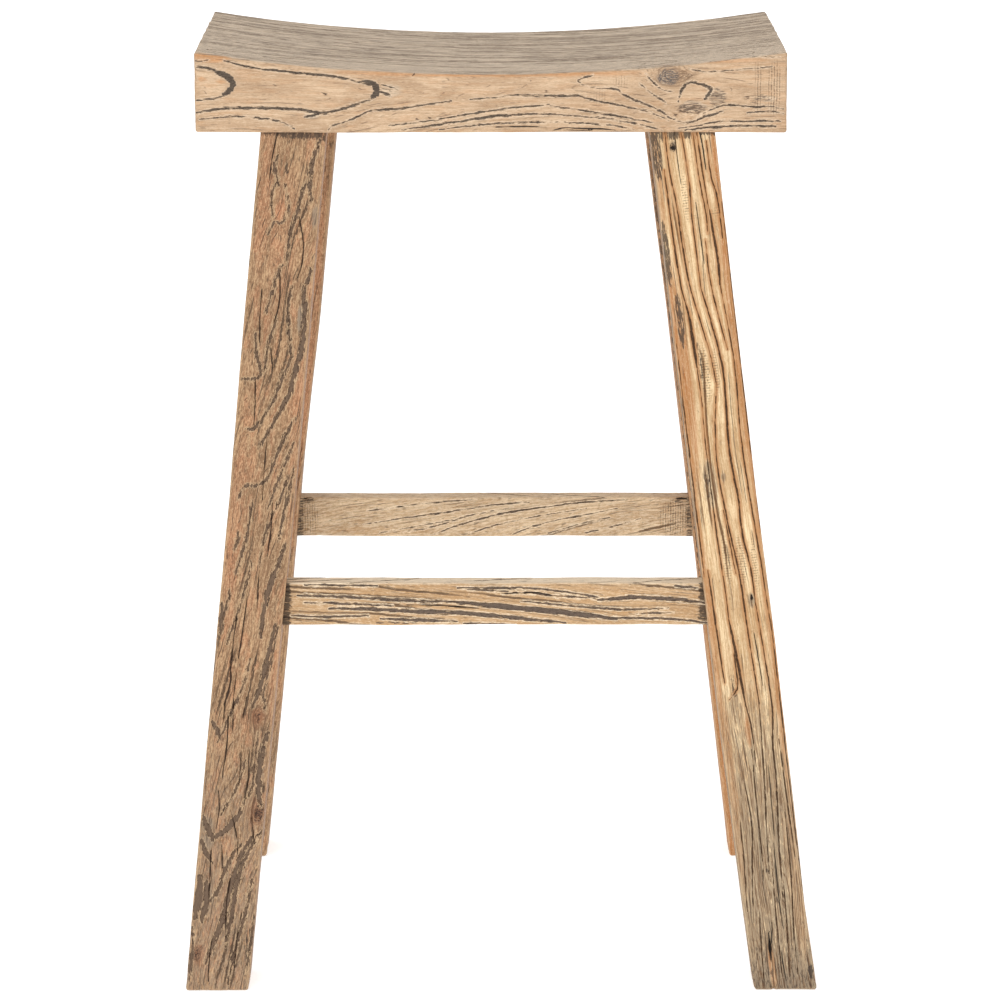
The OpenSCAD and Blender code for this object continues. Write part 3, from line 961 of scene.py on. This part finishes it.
RIGHT_LEG = Wood(
    seed=37, pith=(-70, 62), ring=4.2, taper=-0.012, wander=2.0, bold=(0.3, 0.5), edge=2.2, ragged=0.12,
    seams=(
        (1.1, (12, 18), (40, 18.5), (58, 21.5), (90, 22)), (1.1, (0, 11), (45, 12.5), (68, 14)),
        (2, (66, 14), (105, 16), (128, 15.5)),
        (1.1, (126, 15.5), (175, 19), (205, 19.5), (250, 18), (290, 19), (350, 22), (430, 25)),
        (0.9, (0, 8), (40, 9), (70, 11), (85, 10.5)), (0.9, (90, 8), (120, 8), (150, 11), (180, 15.5)),
        (0.9, (0, -1), (40, 0.5), (75, -0.5), (105, 0), (130, 0)),
        (1.7, (128, 0), (150, 4), (180, 8.5), (205, 10), (258, 7.5), (300, 10), (330, 10), (360, 13.5),
         (390, 14)),
        (1.5, (386, 14), (435, 16.5), (475, 17.5), (505, 14.5), (535, 14), (560, 12), (590, 10), (635, 8)),
        (1.2, (0, -14), (30, -14), (60, -11.5), (95, -10.5), (125, -8.5), (155, -3.5), (180, 1),
         (208, 3.5)),
        (1.3, (206, 3.5), (240, -1.5), (275, -3.5), (320, -0.5), (365, 4), (400, 5), (470, 7.5)),
        (1.3, (466, 7.5), (500, 6), (540, 4), (580, 1), (610, -0.5)),
        (0.9, (308, -3), (335, -1), (362, 1)), (1.4, (30, -18), (90, -17), (125, -15.5), (142, -13)),
        (2.5, (140, -13.5), (150, -12), (175, -11), (192, -10.5)),
        (1.1, (190, -10.5), (220, -10), (260, -11), (330, -10.5), (375, -9), (402, -9)),
        (2.3, (398, -9), (432, -6), (470, -3.5)), (1.2, (468, -3.5), (490, -1), (520, -1)),
        (1.2, (505, -3), (545, -4), (600, -5), (615, -6)), (1.4, (355, -21), (400, -20), (450, -18.5)),
        (1.2, (530, -12), (570, -10), (605, -14), (650, -18)),
        (1.4, (425, -8), (452, -8), (460, -13), (463, -16)), (1.1, (620, 10), (650, 9), (698, 6)),
        (1.3, (560, 18), (610, 17), (660, 14), (698, 13)), (1.1, (600, 3), (640, 1), (698, 0)),
        (1.3, (500, 20), (560, 21), (600, 22)), (1.1, (640, -12), (670, -14), (698, -15)),
        (1.1, (560, -19), (600, -20), (640, -22)),
        (1.3, (60, 24.8), (150, 24.9), (240, 24.6), (330, 24.9)),
        (1.2, (400, 24.8), (520, 24.6), (640, 24.9)), (1.4, (170, -24.8), (260, -24.9), (360, -24.6)),
    ),
    cracks=(
        (3.6, (12.8, -9), (15.4, -9)), (2.6, (380.6, 11.5), (384, 11.6)), (2.6, (668, -7), (676, -7.2)),
        (1.0, (0, 13), (14, 14.5), (34, 15)), (0.8, (650, -3), (660, -4), (670, -6)),
        (1.2, (660, -7), (672, -7), (684, -7.5)), (0.7, (585, 6), (620, 5), (655, 5)),
        (0.6, (520, 9), (550, 8), (580, 7)), (0.7, (410, 10), (430, 11), (455, 12)),
        (0.6, (60, 4), (85, 4.5), (110, 5)), (0.8, (676, 2), (688, 2), (702, 3)),
        (0.6, (0, -6), (20, -6.5), (44, -6)),
    ),
    grey=(
        (20, -22, 16, 4, 0.6), (286, -11, 22, 6, 0.6), (281, 0, 5, 2, 0.7), (472, -12, 14, 6, 0.6),
        (384, 11, 6, 3, 0.8), (640, 0, 70, 30, 0.5),
    ),
    warm=(
        (140, 26, 190, 7.5, 1.0), (430, 25, 170, 5, 0.8), (200, -24, 100, 9, 1.0), (30, -25, 60, 5, 0.6),
        (400, -25, 130, 4, 0.8), (491, -4, 14, 2.6, 0.9), (688, -7, 20, 3.2, 1.0), (540, -22, 90, 4, 0.6),
        (620, 20, 70, 6, 0.5),
    ),
    # The first spot is painted shade: a dark band across the top of the leg, just under the seat.
    dark=(
        (1, 0, 7, 80, 0.9), (20, -22.5, 20, 4.2, 0.75), (97, -24, 28, 3, 0.85), (152, -19.5, 24, 3, 0.8),
        (14, -9, 4, 2.6, 0.8), (286, -13, 12, 3, 0.5), (186, -8, 20, 2, 0.6), (452, -11, 10, 3, 0.5),
        (382, 11.5, 1.6, 1.2, 1), (607, -2, 3, 1.5, 0.9), (634, 3, 3, 1.5, 0.9), (696, 24, 7, 3, 0.8),
        (672, -7, 5, 1.6, 1),
    ),
    saw=(
        (53, -4, 18, 2.6, 0.9), (197, -4.5, 24, 4, 0.9), (197, 4, 18, 2.4, 0.8), (350, 6.5, 20, 4, 0.8),
        (350, -5, 20, 3.5, 0.7), (357, 17, 23, 2.4, 0.8), (69, 19, 2.5, 4, 0.8), (71, -1, 2.5, 8, 0.5),
    ),
    pits=(
        (14, -9, 0, 1.9, 1.9, 2.6), (382, 11.5, 0, 2.2, 1.2, 1.2), (672, -7, 0, 5.5, 1.2, 2.2),
        (704, -8, 0, 4, 2.5, 2.5), (701, -25, 0, 5, 4, 1.6), (702, 25, 0, 5, 5, 1.8),
    ),
    bow=(
        (0, -0.7, 0.3), (300, -0.8, -0.4), (420, -1.0, 1.0), (560, -0.3, 0.3), (640, 0.4, -0.4),
        (700, 1.4, 1.5),
    ),
    # The left side face is painted grey and darker, partly weathering and partly painted shade on that
    # side; the right side face is warmer.
    faces=((1, -1, 0.75, 0.3, 0.14), (1, 1, 0.1, 0.7, 0.1)),
    weather=((360, 600, 0.8, 0, 0.12), (580, 720, 1.0, 0, 0.32)),
)

FRONT_RAIL = Wood(
    seed=41, pith=(-46, 40), ring=3.3, taper=0.09, wander=1.5, bold=(0.5, 0.5), edge=1.4,
    seams=(
        (1.6, (-155, 34), (-124, 33.5), (-96, 33)),
        (1.8, (-31, 31), (0, 31), (31, 30.5), (57, 27.5), (83, 23)),
        (1.4, (-23, 29.5), (-6, 29), (10, 28)), (1.6, (5, 26), (31, 27), (41, 25), (72, 23), (88, 20.5)),
        (3.4, (83, 21), (109, 23), (129, 22.5), (150, 21), (172, 18)),
        (2.3, (-160, 25), (-109, 23), (-62, 20), (-31, 19.5)),
        (4.7, (-35, 19.5), (0, 16), (31, 13), (62, 9.5), (98, 5)),
        (3.4, (-135, 14), (-103, 13.5), (-57, 11), (-26, 10), (5, 7), (36, 4), (57, 1.5)),
        (2.3, (-93, 5.5), (-62, 4), (-31, 3)), (2.1, (-26, 1), (-5, 0.5), (16, 0)),
        (2, (88, 6), (135, 5.5), (171, 2)), (1.3, (114, 9.5), (129, 10), (145, 10)),
        (1.7, (145, 33), (154, 32), (164, 31)), (1.7, (-166, 8), (-135, 7), (-103, 8)),
        (1.6, (21, 20), (62, 16), (103, 13), (140, 14)), (1.6, (-155, 19), (-124, 18), (-83, 16)),
    ),
    cracks=((0.5, (5, 26), (31, 27), (46, 25)), (0.6, (-72, 17), (-41, 16), (-14, 14))),
    warm=((0, 15, 260, 24, 0.8), (-90, 28, 60, 4, 0.7), (110, 28, 50, 4, 0.6), (-60, 1, 60, 2.5, 0.8)),
    # The spots at l = ±171 are painted shade: dark bands at the stretcher's ends, where it meets the legs.
    dark=((171, 17, 7, 40, 0.95), (-171, 17, 5.5, 40, 1.0), (-80, 2, 20, 1.2, 0.5)),
    # The top face is painted pale cream, partly weathering and partly a painted highlight on the top.
    faces=((1, 1, 0.9, 0, 0),),
)

BACK_RAIL = Wood(
    seed=53, pith=(-60, 50), ring=3.4, taper=-0.14, wander=1.2, bold=(0.28, 0.4), edge=1.4,
    seams=(
        (0.8, (-115, 11), (-77, 17), (-48, 21), (-16, 26), (0, 28.5), (30, 31)),
        (1.4, (-53, 2), (-32, 10), (-11, 16), (11, 21.5), (45, 26.5), (69, 30), (114, 33)),
        (0.9, (16, 2), (34, 9), (59, 15.5), (88, 21), (107, 25)),
        (0.7, (-112, 23), (-75, 28), (-43, 31.5), (-16, 33.5)), (0.8, (80, 3), (112, 11), (128, 16)),
        (0.6, (-21, 3), (5, 11), (43, 19), (80, 25)), (0.6, (-101, 3), (-69, 9), (-37, 15)),
        (0.6, (48, 3), (75, 11), (101, 17)), (0.6, (-80, 4), (-53, 9), (-21, 19), (16, 26)),
    ),
    warm=((-100, 5, 50, 4, 0.4),),
    # The first two spots are painted shade at the stretcher's ends, where it meets the legs.
    dark=((171, 17, 3, 40, 0.6), (-171, 17, 3.5, 40, 0.6), (164, 33, 8, 3, 0.6), (-164, 33, 7, 3, 0.6)),
    saw=((158, 17, 14, 16, 1.0), (-163, 17, 9, 16, 0.8)),
    cracks=((1.6, (-168, 34), (-164, 35)), (1.6, (160, 34.5), (168, 34))),
    faces=((1, 1, 0.3, 0, 0), (2, -1, 0.3, 0, 0)),
)

BACK_LEFT_LEG = Wood(
    seed=67, pith=(-64, 58), ring=4.0, taper=0.05, bold=(0.2, 0.34), edge=2.2,
    faces=((1, 1, 0.0, 0.2, 0.0),), warm=((200, 20, 160, 6, 0.7),), grey=((620, 10, 70, 20, 0.3),),
    bow=((0, 2.0, 2.0), (200, 1.6, 1.6), (330, -1.4, -1.4), (560, -1.6, -1.6), (700, -2.6, -2.6)),
)

BACK_RIGHT_LEG = Wood(
    seed=71, pith=(-75, 52), ring=4.4, taper=-0.02, bold=(0.3, 0.5), edge=2.2,
    faces=((1, -1, 0.0, 1.0, 0.12), (2, -1, 0.0, 1.0, 0.12)), weather=((-900, -800, 0.0, 0.95, 0.1),),
    warm=((200, -20, 180, 6, 0.8), (420, -16, 60, 6, 0.4)), grey=((110, -18, 190, 14, 0.7),),
    dark=((110, -24, 170, 4, 0.6), (380, -23.5, 110, 3, 0.45)),
    bow=((0, 0, 0), (200, 1.8, 1.8), (420, 1.6, 1.6), (700, 0.8, 0.8)),
)

LEFT_SIDE_RAIL = Wood(
    seed=83, pith=(-50, 44), ring=3.4, taper=0.06, bold=(0.36, 0.42), edge=1.4,
)
RIGHT_SIDE_RAIL = Wood(
    seed=97, pith=(80, 40), ring=3.2, taper=-0.05, bold=(0.36, 0.42), edge=1.4,
)

SEAT_LOOK = dict(
    light=(212, 182, 149), mid=(196, 165, 133), deep=(166, 134, 103), pale=(232, 209, 180),
    warm=(192, 134, 82), grey=(206, 187, 163), line=(106, 88, 72), stain_and_shade=(80, 60, 46),
    halo=(166, 139, 113), seam=(62, 52, 44), ash=(108, 96, 84), core=(72, 63, 55), crack=(34, 27, 23),
    knot=(150, 120, 92), burl=(70, 70, 74), end=(160, 128, 96),
    ragged=0.46, broken=0.6, strand=4.5, length=26.0, fibre=0.5, grit=0.3, comb=1.0, heart=0.5,
    halo_depth=0.3, rim=0.55, hair=0.5, nick=0.3, edge=0.0, blush=0.22,
)
BROWN_LOOK = dict(
    light=(182, 145, 108), mid=(161, 124, 91), deep=(116, 87, 61), pale=(220, 188, 148),
    warm=(182, 124, 88), grey=(146, 128, 108), line=(84, 66, 52), stain_and_shade=(60, 46, 36), halo=(134, 106, 80),
    seam=(62, 45, 34), ash=(112, 90, 72), core=(110, 91, 75), crack=(48, 30, 19), knot=(126, 82, 56),
    burl=(50, 33, 25), end=(120, 94, 72),
    ragged=1.0, broken=1.0, strand=5.0, length=14.0, fibre=0.6, grit=0.55, comb=0.6, heart=0.7,
    halo_depth=0.5, rim=0.7, hair=0.8, nick=0.5, edge=0.45, blush=0.5,
)
HONEY_LOOK = dict(
    light=(238, 210, 166), mid=(221, 192, 151), deep=(174, 135, 90), pale=(248, 226, 188),
    warm=(166, 103, 50), grey=(143, 124, 101), line=(100, 70, 44), stain_and_shade=(58, 46, 38),
    halo=(170, 114, 62), seam=(52, 34, 21), ash=(82, 60, 42), core=(48, 34, 24), crack=(26, 18, 13),
    knot=(130, 86, 52), burl=(60, 44, 34), end=(150, 116, 82),
    ragged=0.14, broken=0.3, strand=10.0, length=34.0, fibre=0.58, grit=0.28, comb=1.0, heart=0.6,
    halo_depth=0.85, rim=0.15, hair=0.7, nick=0.2, edge=0.3, blush=0.14,
)
RAIL_LOOK = dict(
    light=(222, 196, 160), mid=(204, 175, 138), deep=(166, 135, 100), pale=(244, 224, 194),
    warm=(182, 138, 90), grey=(236, 220, 194), line=(104, 82, 62), stain_and_shade=(54, 43, 35),
    halo=(168, 139, 107), seam=(70, 58, 50), ash=(110, 96, 84), core=(98, 84, 75), crack=(34, 25, 20),
    knot=(140, 104, 72), burl=(80, 60, 44), end=(150, 122, 92),
    ragged=0.45, broken=0.35, strand=7.0, length=32.0, fibre=0.6, grit=0.4, comb=0.2, heart=0.6,
    halo_depth=0.35, rim=0.75, hair=0.4, nick=0.4, edge=0.5, blush=0.25,
)


def build_stool():
    seat = seat_place()
    make_timber("seat", seat, SEAT, wood_material("seat_elm", SEAT_LOOK), SEAT_STEPS,
                [lambda points: hollowed(points, seat)])
    brown = wood_material("brown_elm", BROWN_LOOK)
    honey = wood_material("honey_elm", HONEY_LOOK)
    rail = wood_material("stretcher_elm", RAIL_LOOK)
    legs = {}
    for node, wood, material, slot_name in (
        ("front_left_leg", LEFT_LEG, brown, "brown_elm"),
        ("front_right_leg", RIGHT_LEG, honey, "honey_elm"),
        ("back_left_leg", BACK_LEFT_LEG, brown, "brown_elm"),
        ("back_right_leg", BACK_RIGHT_LEG, honey, "honey_elm"),
    ):
        place = leg_place(node)
        legs[node] = place
        shapers = [lambda points, p=place: level_cut(points, p),
                   lambda points, p=place, w=wood: bowed(points, p, w.bow)]
        make_timber(node, place, wood, material, LEG_STEPS, shapers)
    for node, wood, leg_a, leg_b in (
        ("front_stretcher", FRONT_RAIL, "front_left_leg", "front_right_leg"),
        ("back_stretcher", BACK_RAIL, "back_left_leg", "back_right_leg"),
        ("left_side_stretcher", LEFT_SIDE_RAIL, "front_left_leg", "back_left_leg"),
        ("right_side_stretcher", RIGHT_SIDE_RAIL, "front_right_leg", "back_right_leg"),
    ):
        place = rail_place(node, legs[leg_a], legs[leg_b])
        make_timber(node, place, wood, rail, RAIL_STEPS)


# ---------------------------------------------------------------- studio

def plain_material(name, value, glow):
    material = bpy.data.materials.new(name)
    material.use_nodes = True
    shader = material.node_tree.nodes["Principled BSDF"]
    shader.inputs["Base Color"].default_value = (value, value, value, 1.0)
    shader.inputs["Roughness"].default_value = 0.9
    shader.inputs["Emission Color"].default_value = (1.0, 1.0, 1.0, 1.0)
    shader.inputs["Emission Strength"].default_value = glow
    return material


def build_studio():
    bpy.ops.mesh.primitive_plane_add(size=60.0, location=(0, 12.0, 0))
    floor = bpy.context.object
    floor.name = "floor"
    floor.data.materials.append(plain_material("floor_white", 0.8, FLOOR_GLOW))
    world = bpy.data.worlds.new("studio")
    bpy.context.scene.world = world
    world.use_nodes = True
    sky = world.node_tree.nodes["Background"]
    sky.inputs["Color"].default_value = (1, 1, 1, 1)
    sky.inputs["Strength"].default_value = SKY_STRENGTH
    key = bpy.data.lights.new("key", "SUN")
    key.energy = SUN_STRENGTH
    key.angle = math.radians(50)
    lamp = bpy.data.objects.new("key", key)
    lamp.rotation_euler = (math.radians(48), math.radians(-22), 0)
    bpy.context.scene.collection.objects.link(lamp)
    scene = bpy.context.scene
    scene.view_settings.view_transform = "Standard"
    scene.view_settings.look = "None"


def build_camera():
    data = bpy.data.cameras.new("camera")
    data.lens = CAMERA_LENS
    data.sensor_width = 36.0
    camera = bpy.data.objects.new("camera", data)
    camera.location = CAMERA_PLACE
    camera.rotation_euler = (math.radians(CAMERA_TILT), 0, math.radians(CAMERA_TURN))
    bpy.context.scene.collection.objects.link(camera)
    bpy.context.scene.camera = camera


build_stool()
build_studio()
build_camera()

bpy.context.view_layer.update()
